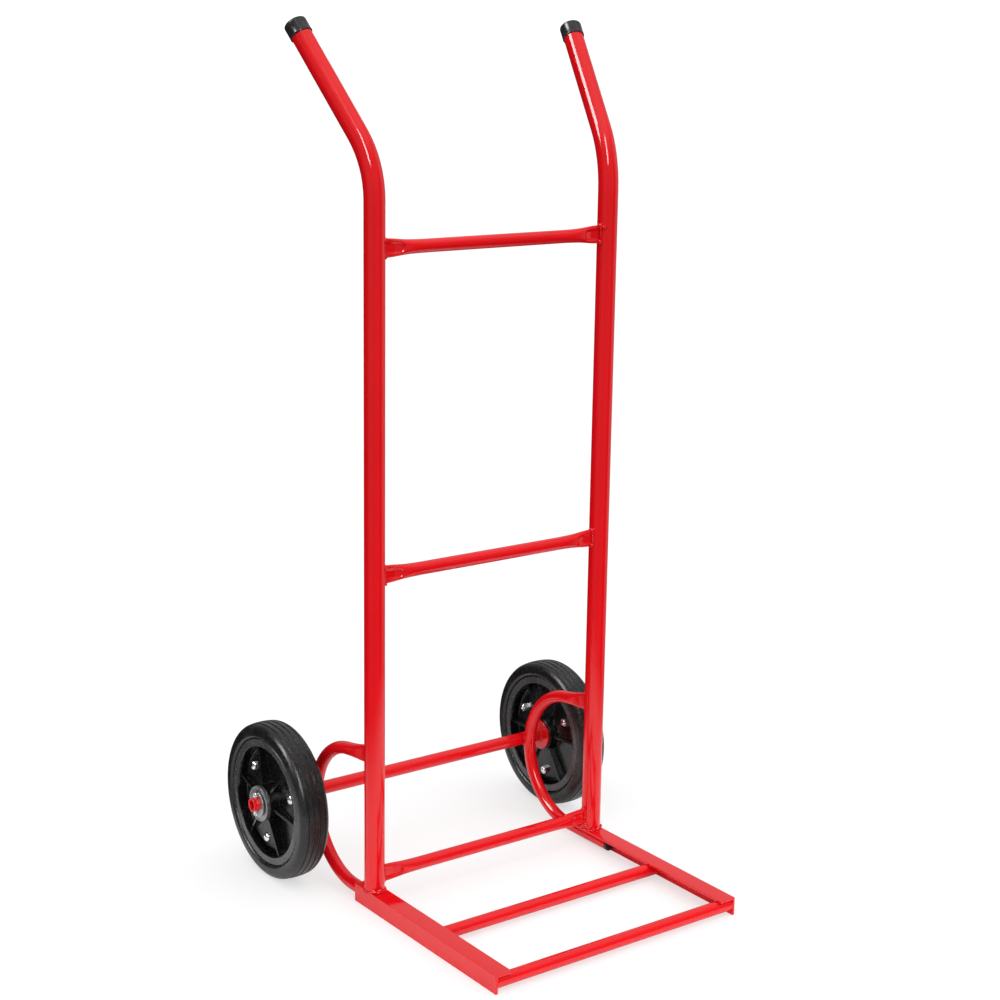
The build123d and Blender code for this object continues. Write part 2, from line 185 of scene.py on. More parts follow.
def addSky():
    sky = bpy.data.worlds.new("studioSky")
    bpy.context.scene.world = sky
    sky.use_nodes = True
    tree = sky.node_tree
    tree.nodes.clear()
    out = tree.nodes.new("ShaderNodeOutputWorld")
    path = addNode(tree, "LightPath").outputs
    way = addNode(tree, "TexCoord").outputs["Generated"]
    height = addNode(tree, "SeparateXYZ", {0: way}).outputs["Z"]

    light = studio["light"]
    glow = remap(tree, height, 0.1, 0.9, light["level"], light["level"] + light["overhead"])
    ahead = headingCosine(tree, way, light["frontHeading"])
    glow = maths(tree, "ADD", glow, remap(tree, ahead, -1.0, 1.0, -light["front"], light["front"], smooth=False))

    room = studio["room"]
    mirror = remap(tree, height, -0.5, -0.15, room["floor"], room["level"])
    mirror = maths(tree, "ADD", mirror, remap(tree, height, 0.5, 0.87, 0.0, room["ceiling"] - room["level"]))
    for heading, half, low, high, strength in studio["boxes"]:
        edge = math.cos(math.radians(half))
        soft = 1 - math.cos(math.radians(half * 0.5))
        across = remap(tree, headingCosine(tree, way, heading), edge - soft, edge + soft)
        low, high = math.sin(math.radians(low)), math.sin(math.radians(high))
        mask = maths(tree, "MULTIPLY", across, band(tree, height, low, high, 0.06))
        mirror = maths(tree, "ADD", mirror, maths(tree, "MULTIPLY", mask, strength))
    mirror = maths(tree, "MAXIMUM", mirror, 0.01)

    strength = addNode(tree, "Mix", {0: path["Is Glossy Ray"], 2: glow, 3: mirror}).outputs[0]
    lit = addNode(tree, "Background", {"Color": (1, 1, 1, 1), "Strength": strength})
    seen = addNode(tree, "Background", {"Color": (1, 1, 1, 1), "Strength": studio["skySeen"]})
    both = addNode(tree, "MixShader", {0: path["Is Camera Ray"], 1: lit.outputs[0], 2: seen.outputs[0]})
    tree.links.new(both.outputs[0], out.inputs[0])


def addStudio():
    addFloor()
    addSky()
    bpy.context.scene.view_settings.view_transform = "Standard"


addStudio()
print("studio set")


# shared effects
def makeGroup(name, inputs, outputs):
    tree = bpy.data.node_groups.new(name, "ShaderNodeTree")
    for socket, value in inputs.items():
        made = tree.interface.new_socket(name=socket, in_out="INPUT", socket_type="NodeSocketFloat")
        made.default_value = value
    for socket in outputs:
        tree.interface.new_socket(name=socket, in_out="OUTPUT", socket_type="NodeSocketFloat")
    return tree, tree.nodes.new("NodeGroupInput").outputs, tree.nodes.new("NodeGroupOutput").inputs


def grainGroup():
    # fine skin height, broad drift and mid-size mottle, all 0 to 1
    tree, given, out = makeGroup(
        "surfaceGrain", {"Fine Scale": 900.0, "Mottle Scale": 120.0, "Drift Scale": 12.0}, ("Height", "Mottle", "Drift")
    )
    place = addNode(tree, "TexCoord").outputs["Object"]
    clouds = (("Fine Scale", 2.0, "Height"), ("Mottle Scale", 4.0, "Mottle"), ("Drift Scale", 2.0, "Drift"))
    for scale, detail, socket in clouds:
        cloud = addNode(tree, "TexNoise", {"Vector": place, "Scale": given[scale], "Detail": detail})
        tree.links.new(remap(tree, cloud.outputs["Fac"], 0.25, 0.75), out[socket])
    return tree


def edgeGroup():
    # 1 along rounded corners, 0 on flats; it places the painted edge highlights
    tree, given, out = makeGroup("edgeHighlight", {"Radius": 0.0006, "Low": 0.02, "High": 0.25}, ("Mask",))
    rounded = addNode(tree, "Bevel", {"Radius": given["Radius"]}, samples=6).outputs["Normal"]
    flat = addNode(tree, "NewGeometry").outputs["Normal"]
    match = addNode(tree, "VectorMath", {0: rounded, 1: flat}, operation="DOT_PRODUCT").outputs["Value"]
    tree.links.new(remap(tree, maths(tree, "SUBTRACT", 1.0, match), given["Low"], given["High"]), out["Mask"])
    return tree


def lathedGroup():
    # fine turning lines round the wheel axle, and the distance from it
    tree, given, out = makeGroup("turnedLines", {"Axle Y": 0.160175, "Axle Z": 0.1, "Scale": 2500.0}, ("Lines", "Ring"))
    place = addNode(tree, "TexCoord").outputs["Object"]
    parts = addNode(tree, "SeparateXYZ", {0: place}).outputs
    across = maths(tree, "SUBTRACT", parts["Y"], given["Axle Y"])
    up = maths(tree, "SUBTRACT", parts["Z"], given["Axle Z"])
    squares = [maths(tree, "MULTIPLY", part, part) for part in (across, up)]
    ring = maths(tree, "SQRT", maths(tree, "ADD", *squares), 0.0)
    cloud = addNode(tree, "TexNoise", {"W": ring, "Scale": given["Scale"], "Detail": 2.0}, noise_dimensions="1D")
    tree.links.new(remap(tree, cloud.outputs["Fac"], 0.3, 0.7), out["Lines"])
    tree.links.new(ring, out["Ring"])
    return tree


grain = grainGroup()
edgeHighlight = edgeGroup()
turnedLines = lathedGroup()


def useGroup(tree, group, **values):
    node = tree.nodes.new("ShaderNodeGroup")
    node.node_tree = group
    for name, value in values.items():
        node.inputs[name].default_value = value
    return node.outputs


def newMaterial(name, **fixed):
    material = bpy.data.materials.new(name)
    material.use_nodes = True
    shader = material.node_tree.nodes["Principled BSDF"]
    for socket, value in fixed.items():
        shader.inputs[socket].default_value = value
    return material, material.node_tree, shader.inputs


def setBump(tree, sockets, height, depth):
    bump = addNode(tree, "Bump", {"Height": height, "Strength": 1.0, "Distance": depth})
    tree.links.new(bump.outputs["Normal"], sockets["Normal"])


paint = {
    "colour": (0.700, 0.0036, 0.0078, 1),
    "deep": (0.655, 0.0026, 0.0060, 1),
    # painted edge highlight: lighter, pinkish paint along rounded edges
    "edgeHighlightTone": (0.740, 0.0120, 0.0160, 1),
    "gloss": (0.07, 0.13),
    "peelDepth": 0.000004,
    "peelScale": 700.0,
    "weldDepth": 0.00012,
    "weldScale": 1300.0,
    "specular": 0.5,
}


def paintMaterial(name, peelDepth, fineScale):
    material, tree, sockets = newMaterial(name, **{"Specular IOR Level": paint["specular"]})
    skin = useGroup(tree, grain, **{"Fine Scale": fineScale, "Mottle Scale": 160.0, "Drift Scale": 9.0})
    edge = useGroup(tree, edgeHighlight, Radius=0.0007)
    body = mixColour(tree, skin["Drift"], paint["deep"], paint["colour"])
    # rounded edges get the painted highlight tone
    tree.links.new(mixColour(tree, edge["Mask"], body, paint["edgeHighlightTone"]), sockets["Base Color"])
    tree.links.new(remap(tree, skin["Mottle"], 0.0, 1.0, *paint["gloss"], smooth=False), sockets["Roughness"])
    setBump(tree, sockets, skin["Height"], peelDepth)
    return material


rubber = {
    "colour": (0.0085, 0.0085, 0.0088, 1),
    "bloom": (0.0160, 0.0160, 0.0164, 1),
    "specular": 0.42,
    "gloss": (0.20, 0.34),
    "grainDepth": 0.00005,
}


def rubberMaterial():
    material, tree, sockets = newMaterial("tyreRubber", **{"Specular IOR Level": rubber["specular"]})
    skin = useGroup(tree, grain, **{"Fine Scale": 1400.0, "Mottle Scale": 90.0, "Drift Scale": 25.0})
    shade = maths(tree, "MULTIPLY", skin["Mottle"], skin["Drift"])
    tree.links.new(mixColour(tree, shade, rubber["colour"], rubber["bloom"]), sockets["Base Color"])
    tree.links.new(remap(tree, skin["Mottle"], 0.0, 1.0, *rubber["gloss"], smooth=False), sockets["Roughness"])
    setBump(tree, sockets, skin["Height"], rubber["grainDepth"])
    return material


plastic = {
    "colour": (0.0028, 0.0028, 0.0030, 1),
    # painted edge highlight: light grey along the ribs' and pads' rounded edges
    "edgeHighlightGrey": (0.13, 0.13, 0.133, 1),
    # painted reflection: the lip's outer ring is lighter grey
    "lipSheen": (0.062, 0.062, 0.064, 1),
    "lipStart": (0.0711, 0.0722),  # distance from the axle where the lighter lip begins, m
    "specular": 0.42,
    "gloss": (0.19, 0.30),
    "grainDepth": 0.00002,
}


def plasticMaterial():
    material, tree, sockets = newMaterial("hubPlastic", **{"Specular IOR Level": plastic["specular"]})
    skin = useGroup(tree, grain, **{"Fine Scale": 1100.0, "Mottle Scale": 140.0, "Drift Scale": 30.0})
    # painted edge highlight: light grey on rounded edges, broken up by the mottle
    edge = useGroup(tree, edgeHighlight, Radius=0.0006, Low=0.03, High=0.2)
    highlightBreakup = remap(tree, skin["Mottle"], 0.2, 0.9, 0.5, 1.0)
    # painted reflection: lighter grey on the lip's outer ring, broken up by the drift
    even = remap(tree, skin["Drift"], 0.0, 1.0, 0.75, 1.0)
    onLip = remap(tree, useGroup(tree, turnedLines)["Ring"], *plastic["lipStart"])
    lipSheenMask = maths(tree, "MULTIPLY", onLip, even)
    toneWithLipSheen = mixColour(tree, lipSheenMask, plastic["colour"], plastic["lipSheen"])
    edgeHighlightMask = maths(tree, "MULTIPLY", edge["Mask"], highlightBreakup)
    tree.links.new(mixColour(tree, edgeHighlightMask, toneWithLipSheen, plastic["edgeHighlightGrey"]), sockets["Base Color"])
    tree.links.new(remap(tree, skin["Mottle"], 0.0, 1.0, *plastic["gloss"], smooth=False), sockets["Roughness"])
    setBump(tree, sockets, skin["Height"], plastic["grainDepth"])
    return material


vinyl = {
    "colour": (0.011, 0.011, 0.012, 1),
    "pale": (0.030, 0.030, 0.031, 1),
    "specular": 0.45,
    "gloss": (0.11, 0.20),
    "grainDepth": 0.00003,
}


def vinylMaterial():
    material, tree, sockets = newMaterial("capVinyl", **{"Specular IOR Level": vinyl["specular"]})
    skin = useGroup(tree, grain, **{"Fine Scale": 1000.0, "Mottle Scale": 220.0, "Drift Scale": 60.0})
    tree.links.new(mixColour(tree, skin["Mottle"], vinyl["colour"], vinyl["pale"]), sockets["Base Color"])
    tree.links.new(remap(tree, skin["Drift"], 0.0, 1.0, *vinyl["gloss"], smooth=False), sockets["Roughness"])
    setBump(tree, sockets, skin["Height"], vinyl["grainDepth"])
    return material


steel = {
    # finish: base, worn tone, roughness range, line depth
    "bushSteel": ((0.30, 0.30, 0.31, 1), (0.46, 0.46, 0.47, 1), (0.34, 0.52), 0.000012),
    "zincSteel": ((0.70, 0.71, 0.72, 1), (0.92, 0.93, 0.94, 1), (0.14, 0.30), 0.000010),
    "washerSteel": ((0.36, 0.36, 0.37, 1), (0.56, 0.56, 0.57, 1), (0.30, 0.46), 0.000012),
}


def steelMaterial(name):
    base, bright, gloss, depth = steel[name]
    material, tree, sockets = newMaterial(name, Metallic=1.0)
    skin = useGroup(tree, grain, **{"Fine Scale": 1600.0, "Mottle Scale": 260.0, "Drift Scale": 70.0})
    turned = useGroup(tree, turnedLines)["Lines"]
    tree.links.new(mixColour(tree, skin["Mottle"], base, bright), sockets["Base Color"])
    blur = maths(tree, "MULTIPLY", turned, skin["Mottle"])
    tree.links.new(remap(tree, blur, 0.0, 1.0, *gloss, smooth=False), sockets["Roughness"])
    setBump(tree, sockets, maths(tree, "ADD", turned, skin["Height"]), depth)
    return material


finishes = {
    "frame_paint": paintMaterial("framePaint", paint["peelDepth"], paint["peelScale"]),
    "cap_vinyl": vinylMaterial(),
    "tyre_rubber": rubberMaterial(),
    "hub_plastic": plasticMaterial(),
    "bush_steel": steelMaterial("bushSteel"),
    "zinc_steel": steelMaterial("zincSteel"),
}
washerSteel = steelMaterial("washerSteel")
weldPaint = paintMaterial("weldPaint", paint["weldDepth"], paint["weldScale"])
slotOf = {part["node"]: part["material_slot"] for part in frame["record"]["subparts"]}
for nodeName, slotName in slotOf.items():
    nodes[nodeName].data.materials.clear()
    nodes[nodeName].data.materials.append(washerSteel if "washer" in nodeName else finishes[slotName])
print("finishes made")


# mesh helpers
def addPiece(name, mesh, slot, body="frame", replaced=(), material=None, sharp=38):
    mesh.shade_smooth()
    mesh.set_sharp_from_angle(angle=math.radians(sharp))
    mesh.materials.clear()
    mesh.materials.append(material or finishes[slot])
    piece = bpy.data.objects.new(name, mesh)
    bpy.context.scene.collection.objects.link(piece)
    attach(piece, body)
    if replaced:
        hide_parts(*replaced)
    return piece


def toMesh(name, bm):
    bmesh.ops.remove_doubles(bm, verts=bm.verts, dist=1e-7)
    bmesh.ops.recalc_face_normals(bm, faces=bm.faces)
    mesh = bpy.data.meshes.new(name)
    bm.to_mesh(mesh)
    bm.free()
    return mesh


def skinRings(bm, rings, loop=False):
    # rings of equal count become a closed surface, with flat ends unless it loops
    made = [[bm.verts.new(point) for point in ring] for ring in rings]
    count = len(made[0])
    pairs = list(zip(made, made[1:])) + ([(made[-1], made[0])] if loop else [])
    for ring, following in pairs:
        for i in range(count):
            j = (i + 1) % count
            bm.faces.new((ring[i], ring[j], following[j], following[i]))
    if not loop:
        bm.faces.new(list(reversed(made[0])))
        bm.faces.new(made[-1])


def lathe(bm, profile, origin, axis, steps, closed=False):
    # profile is (along, radius) in mm, from one end to the other, or a closed section
    axis = Vector(axis).normalized()
    across = axis.orthogonal().normalized()
    up = axis.cross(across)
    rings = []
    for step in range(steps):
        turn = 2 * math.pi * step / steps
        out = across * math.cos(turn) + up * math.sin(turn)
        places = [Vector(origin) + axis * along * mm + out * radius * mm for along, radius in profile]
        rings.append([bm.verts.new(place) for place in places])
    last = len(profile) if closed else len(profile) - 1
    for ring, following in zip(rings, rings[1:] + rings[:1]):
        for i in range(last):
            j = (i + 1) % len(profile)
            face = [ring[i], ring[j], following[j], following[i]]
            if profile[i][1] < 1e-6:
                face = [ring[i], ring[j], following[j]]
            elif profile[j][1] < 1e-6:
                face = [ring[i], ring[j], following[i]]
            bm.faces.new(face)


def arcPoints(centre, radius, startTurn, endTurn, steps):
    points = []
    for step in range(steps + 1):
        turn = math.radians(startTurn + (endTurn - startTurn) * step / steps)
        points.append((centre[0] + radius * math.cos(turn), centre[1] + radius * math.sin(turn)))
    return points


# the frame's main lines, mm
lines = {
    "uprightX": 169.5,
    "uprightY": 7.825,
    "uprightRadius": 12.5,
    "angleTop": 23.0,
    "angleInnerX": 177.5,
    "barRadius": 8.0,
    "barHeights": {"upper": 806.0, "middle": 421.0, "lower": 41.0},
    "axleY": 160.175,
    "axleZ": 100.0,
    "axleRadius": 8.55,
}

# tube ends pressed flat where they are welded on: half thickness against distance from the joint
pressed = {
    "steps": [(0.0, 2.5), (9.0, 2.7), (20.0, 4.9), (29.0, 6.6), (40.0, 7.5), (54.0, 8.0)],
    "into": 3.0,  # how far a tube end runs into what it is welded to
    "around": 144,
    "dent": {"half": 8.0, "straight": 19.5, "wall": 4.2, "depth": 2.2, "thinnest": 1.6},  # U left by the press
}


def pressedHalf(away):
    steps = pressed["steps"]
    if away <= steps[0][0]:
        return steps[0][1]
    for (start, low), (end, high) in zip(steps, steps[1:]):
        if away <= end:
            share = (away - start) / (end - start)
            return low + (high - low) * share
    return steps[-1][1]


def easedHalf(away):
    # the mean over a short run takes the corners out of the steps
    return sum(pressedHalf(away + shift) for shift in (-5, -3, -1, 1, 3, 5)) / 6


def obround(half, count):
    # section of a round tube pressed to this half thickness, at the same girth: (thin, tall)
    radius = lines["barRadius"]
    flat = math.pi * (radius - half) / 2
    girth = 2 * math.pi * radius
    points = []
    for i in range(count):
        along = girth * i / count
        quarter = math.pi * half
        if along < flat:
            points.append((half, along))
        elif along < flat + quarter:
            turn = (along - flat) / half
            points.append((half * math.cos(turn), flat + half * math.sin(turn)))
        elif along < 3 * flat + quarter:
            points.append((-half, flat - (along - flat - quarter)))
        elif along < 3 * flat + 2 * quarter:
            turn = (along - 3 * flat - quarter) / half
            points.append((-half * math.cos(turn), -flat - half * math.sin(turn)))
        else:
            points.append((half, -flat + along - 3 * flat - 2 * quarter))
    return points


def dented(section, away):
    # the press leaves a U-shaped flat on both faces, sunk below the rest of the end
    dent = pressed["dent"]
    points = []
    for thin, tall in section:
        inside = dent["half"] - math.hypot(tall, max(0.0, away - dent["straight"]))
        share = min(1.0, max(0.0, inside / dent["wall"]))
        share = share * share * (3 - 2 * share)
        sunk = max(dent["thinnest"], abs(thin) - dent["depth"])
        if abs(thin) > sunk:
            thin = math.copysign(abs(thin) + (sunk - abs(thin)) * share, thin)
        points.append((thin, tall))
    return points


def endRuns(total):
    # distances from the joint, close together over the pressed end
    return [-pressed["into"]] + [0.5 * i for i in range(0, 120)] + [total]


def addCrossBars():
    reach = lines["uprightX"] - lines["uprightRadius"]
    for barName, height in lines["barHeights"].items():
        bm = bmesh.new()
        rings = []
        runs = endRuns(reach)
        for side in (-1, 1):
            ordered = runs if side < 0 else list(reversed(runs))[1:]
            for away in ordered:
                x = side * (reach - away)
                section = dented(obround(easedHalf(away), pressed["around"]), away)
                rings.append([Vector((x, lines["uprightY"] + thin, height + tall)) * mm for thin, tall in section])
        skinRings(bm, rings)
        addPiece("crossBar." + barName, toMesh("crossBar", bm), "frame_paint", replaced=("cross_bar_" + barName,))


bracket = {
    "loopBack": 47.8,
    "runZ": 12.0,
    "rise": 8.5,
    "frontReach": 37.0,
}


def bracketPath():
    # points and headings in the bracket's own plane, (back, up) from the upright's middle, front end first,
    # each with its distance from the top joint
    loopRadius = lines["axleZ"] - bracket["runZ"]
    rise = math.radians(bracket["rise"])
    backEnd = bracket["loopBack"] + loopRadius * math.sin(rise)
    upEnd = lines["axleZ"] + loopRadius * math.cos(rise)
    topRun = (backEnd - lines["uprightRadius"]) / math.cos(rise)
    stations = []
    for i in range(8):
        back = -bracket["frontReach"] + (bracket["frontReach"] + bracket["loopBack"]) * i / 8
        stations.append((back, bracket["runZ"], 0.0, 99.0))
    for i in range(120):
        turn = (180 - bracket["rise"]) * i / 120
        spin = math.radians(turn - 90)
        place = (bracket["loopBack"] + loopRadius * math.cos(spin), lines["axleZ"] + loopRadius * math.sin(spin))
        stations.append((*place, turn, topRun + loopRadius * (math.pi / 2 - rise - spin)))
    for away in [topRun] + [run for run in reversed(endRuns(topRun)[:-1]) if run < topRun - 0.2]:
        gone = topRun - away
        place = (backEnd - gone * math.cos(rise), upEnd + gone * math.sin(rise))
        stations.append((*place, 180 - bracket["rise"], away))
    return stations


def addBrackets():
    for sideName, side in sides.items():
        bm = bmesh.new()
        rings = []
        for back, up, heading, away in bracketPath():
            turn = math.radians(heading)
            normal = Vector((0, -math.sin(turn), math.cos(turn)))
            middle = Vector((side * lines["uprightX"], lines["uprightY"] + back, up))
            section = obround(easedHalf(away), pressed["around"])
            rings.append([(middle + Vector((thin, 0, 0)) + normal * tall) * mm for thin, tall in section])
        skinRings(bm, rings)
        mesh = toMesh("wheelBracket", bm)
        addPiece("wheelBracket." + sideName, mesh, "frame_paint", replaced=("wheel_bracket_" + sideName,))


addCrossBars()
addBrackets()
print("pressed tubes made")

# weld beads: a rippled bead along each joint line
weld = {
    "bar": 1.9,
    "bracket": 1.9,
    "base": 1.4,
    "axle": 2.1,
    "collar": 1.3,
    "stitch": 1.6,
    "endHalf": 2.7,  # half thickness of the pressed ends that the beads run round
    "pitch": 2.4,  # ripple spacing
    "ripple": 0.22,
    "wander": 0.42,
    # blobs left where a bead stopped: out from the middle, y, z and radius
    "barBlobs": {
        "right": [(156.6, 4.6, 816.2, 3.2), (158.4, 0.2, 815.0, 2.8), (156.0, 4.4, 796.6, 2.8), (154.6, 6.0, 52.6, 3.0),
                  (157.4, 3.0, 30.2, 2.4), (156.8, 4.4, 431.4, 2.8), (156.4, 4.6, 411.4, 2.4)],
        "left": [(157.2, 3.4, 816.0, 2.4), (157.4, 3.2, 796.2, 2.2), (157.2, 3.6, 431.6, 2.4), (157.0, 3.6, 410.8, 2.2)],
    },
    "baseBlobs": {
        "right": [(163.0, -4.8, 25.0, 3.2), (170.6, -6.4, 25.0, 2.6), (180.4, 1.6, 24.4, 2.6)],
        "left": [(177.4, -3.6, 25.0, 2.8), (170.8, -6.2, 25.2, 3.0), (173.8, -6.4, 24.4, 2.2)],
    },
}


def addBead(bm, points, radius, closed, seed):
    # a bead of overlapping ripples, laid at even steps along the line
    line = [Vector(point) for point in points]
    if closed:
        line.append(line[0])
    lengths = [0.0]
    for first, second in zip(line, line[1:]):
        lengths.append(lengths[-1] + (second - first).length)
    count = max(8, int(lengths[-1] / 0.35))
    middles = []
    for step in range(count + (0 if closed else 1)):
        along = lengths[-1] * step / count
        i = max(k for k in range(len(line) - 1) if lengths[k] <= along + 1e-9)
        share = (along - lengths[i]) / max(lengths[i + 1] - lengths[i], 1e-9)
        middles.append(line[i].lerp(line[i + 1], share))
    rings = []
    total = len(middles)
    for step, middle in enumerate(middles):
        ahead = middles[(step + 1) % total] if closed or step + 1 < total else middle
        behind = middles[step - 1] if closed or step > 0 else middle
        heading = (ahead - behind).normalized()
        across = heading.orthogonal() if step == 0 else across - heading * across.dot(heading)
        across.normalize()
        up = heading.cross(across)
        along = lengths[-1] * step / count
        phase = (along / weld["pitch"]) % 1.0
        lumps = noise.noise(middle * 0.45 + Vector((seed * 7.3, 0, 0)))
        size = radius * (1 + weld["ripple"] * (1 - 2 * phase) + weld["wander"] * lumps)
        if not closed:
            size *= max(0.25, min(1.0, 0.35 + step * 0.16, 0.35 + (total - 1 - step) * 0.16))
        ring = []
        for k in range(14):
            turn = 2 * math.pi * k / 14
            ring.append((middle + (across * math.cos(turn) + up * math.sin(turn)) * size) * mm)
        rings.append(ring)
    skinRings(bm, rings, loop=closed)


def addBlob(bm, middle, radius, seed):
    made = bmesh.ops.create_icosphere(bm, subdivisions=4, radius=1.0)
    for vertex in made["verts"]:
        lumps = noise.noise(vertex.co * 1.6 + Vector((seed * 3.1, 0, 0)))
        fine = noise.noise(vertex.co * 3.6 + Vector((0, seed * 5.7, 0)))
        vertex.co = (Vector(middle) + vertex.co * radius * (1 + 0.26 * lumps + 0.16 * fine)) * mm


def addWeldPiece(name, sideName, bm):
    addPiece(name + "." + sideName, toMesh(name, bm), "frame_paint", material=weldPaint, sharp=70)


def addWelds():
    x, y, radius = lines["uprightX"], lines["uprightY"], lines["uprightRadius"]
    for sideName, side in sides.items():
        bm = bmesh.new()
        seed = 1 if side > 0 else 2
        for height in lines["barHeights"].values():
            loop = []
            for thin, tall in obround(weld["endHalf"], 48):
                loop.append((side * (x - math.sqrt(radius**2 - thin**2)), y + thin, height + tall))
            addBead(bm, loop, weld["bar"], True, seed + height)
        for out, blobY, blobZ, size in weld["barBlobs"][sideName]:
            addBlob(bm, (side * out, blobY, blobZ), size, seed + blobZ)
        addWeldPiece("barWelds", sideName, bm)

        bm = bmesh.new()
        jointUp = [up for back, up, heading, away in bracketPath() if away < 0.3][0]
        loop = []
        for thin, tall in obround(weld["endHalf"], 48):
            out = math.sqrt(radius**2 - thin**2)
            loop.append((side * (x + thin), y + out, jointUp + tall))
        addBead(bm, loop, weld["bracket"], True, seed + 31)
        addWeldPiece("bracketWeld", sideName, bm)

        bm = bmesh.new()
        arc = []
        for i in range(90):
            turn = 2 * math.pi * i / 90
            reach = radius + 0.5
            arc.append((side * (x + reach * math.cos(turn)), y + reach * math.sin(turn), lines["angleTop"] + 0.3))
        addBead(bm, arc, weld["base"], True, seed + 47)
        for out, blobY, blobZ, size in weld["baseBlobs"][sideName]:
            addBlob(bm, (side * out, blobY, blobZ), size, seed + out)
        addWeldPiece("uprightBaseWeld", sideName, bm)

        bm = bmesh.new()
        loopY = y + bracket["loopBack"] + lines["axleZ"] - bracket["runZ"]
        for updown in (-1, 1):
            seam = []
            for i in range(25):
                shift = -4.5 + 9.0 * i / 24
                seamY = loopY + math.sqrt((lines["barRadius"] + 0.7) ** 2 - shift**2)
                rise = math.sqrt((lines["axleRadius"] + 0.7) ** 2 - (lines["axleY"] - seamY) ** 2)
                seam.append((side * x + shift, seamY, lines["axleZ"] + updown * rise))
            addBead(bm, seam, weld["axle"], False, seed + 59 + updown)
        addWeldPiece("axleWelds", sideName, bm)

        bm = bmesh.new()
        collarLow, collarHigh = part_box("axle_collar_" + sideName)
        collarX = (collarLow if side > 0 else collarHigh).x / mm
        ring = []
        for i in range(60):
            turn = 2 * math.pi * i / 60
            reach = lines["axleRadius"] + 0.5
            across, up = reach * math.cos(turn), reach * math.sin(turn)
            ring.append((collarX - side * 0.4, lines["axleY"] + across, lines["axleZ"] + up))
        addBead(bm, ring, weld["collar"], True, seed + 71)
        addWeldPiece("collarWeld", sideName, bm)

        # stitches under the toe: bracket to angle, bars to angle
        bm = bmesh.new()
        for start, end in ((-34, -14), (0, 18)):
            run = [(side * (x - 4.6), y + start + (end - start) * i / 20, lines["angleTop"] - 3.9) for i in range(21)]
            addBead(bm, run, weld["stitch"], False, seed + 83 + start)
        for node in ("toe_bar_middle", "toe_bar_front"):
            low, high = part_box(node)
            middleY, middleZ = (low.y + high.y) / 2 / mm, (low.z + high.z) / 2 / mm
            arc = []
            start, end = (200, 340) if node == "toe_bar_middle" else (232, 350)  # stays behind the front edge
            for i in range(31):
                turn = math.radians(start + (end - start) * i / 30)
                reach = lines["barRadius"] + 0.4
                across, up = reach * math.cos(turn), reach * math.sin(turn)
                arc.append((side * (lines["angleInnerX"] - 0.5), middleY + across, middleZ + up))
            addBead(bm, arc, weld["stitch"], False, seed + 97 + middleY)
        addWeldPiece("toeWelds", sideName, bm)


addWelds()
print("welds laid")

# tyre section, mm across and out from the wheel's middle
tyre = {
    "half": 20.0,
    "outer": 100.0,
    "crown": 80.0,
    "shoulder": 9.5,
    "heel": 4.5,
    "heelRadius": 81.5,
    "bead": (13.5, 73.5),
    "grooves": (-11.55, -3.85, 3.85, 11.55),
    "groove": [(-1.45, 0.0), (-1.15, 0.08), (-0.98, 0.34), (-0.86, 0.85), (-0.70, 1.25), (-0.35, 1.5)],
    "treadStep": 0.35,
    "grooveReach": 1.6,  # plain tread keeps this far from a groove's middle
    "steps": 144,
}


def tyreProfile():
    crownMiddle = tyre["outer"] - tyre["crown"]
    shoulderAcross = tyre["half"] - tyre["shoulder"]
    shoulderUp = crownMiddle + math.sqrt((tyre["crown"] - tyre["shoulder"]) ** 2 - shoulderAcross**2)
    leave = math.degrees(math.atan2(shoulderUp - crownMiddle, shoulderAcross))

    def surface(across):
        across = abs(across)
        edge = tyre["crown"] * math.cos(math.radians(leave))
        if across < edge:
            return crownMiddle + math.sqrt(tyre["crown"] ** 2 - across**2)
        return shoulderUp + math.sqrt(max(tyre["shoulder"] ** 2 - (across - shoulderAcross) ** 2, 0))

    beadHalf, beadRadius = tyre["bead"]
    half = [(beadHalf, beadRadius), (beadHalf, tyre["heelRadius"])]
    half += arcPoints((tyre["half"] - tyre["heel"], tyre["heelRadius"] + tyre["heel"]), tyre["heel"], -90, 0, 8)
    half += arcPoints((shoulderAcross, shoulderUp), tyre["shoulder"], 0, 58, 14)
    across = half[-1][0]
    tread = []
    for groove in tyre["grooves"]:
        wall = [(groove + shift, surface(groove + shift) - deep) for shift, deep in tyre["groove"]]
        back = [(groove - shift, surface(groove - shift) - deep) for shift, deep in reversed(tyre["groove"])]
        tread += wall + back
    spread = [across - tyre["treadStep"] * i for i in range(1, int(2 * across / tyre["treadStep"]))]
    for place in spread:
        if all(abs(place - groove) >= tyre["grooveReach"] for groove in tyre["grooves"]):
            tread.append((place, surface(place)))
    tread.sort(key=lambda point: -point[0])
    return half + tread + [(-out, up) for out, up in reversed(half)]


def addTyres():
    for sideName in sides:
        low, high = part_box("tyre_" + sideName)
        middle = (low + high) / 2
        bm = bmesh.new()
        lathe(bm, tyreProfile(), middle, (1, 0, 0), tyre["steps"], closed=True)
        mesh = toMesh("tyre", bm)
        addPiece("tyre." + sideName, mesh, "tyre_rubber", "wheel_" + sideName, ("tyre_" + sideName,), sharp=50)


addTyres()
print("tyres made")

# handle caps: a moulded sleeve with a soft shoulder
cap = {
    "lean": 39.5,
    "splay": 14.0,
    "bendStart": 860.0,
    "bendRadius": 115.0,
    "straight": 153.0,
    "profile": [(-16.2, 12.5), (-16.2, 13.3), (-15.95, 13.65), (-15.5, 13.8), (-14.6, 13.8), (-14.1, 13.68),
                (-6.0, 13.64), (-0.5, 13.7)],
    "inner": 12.5,
    "outer": 13.7,
    "shoulder": 2.3,
    "end": 2.5,
    "steps": 96,
}


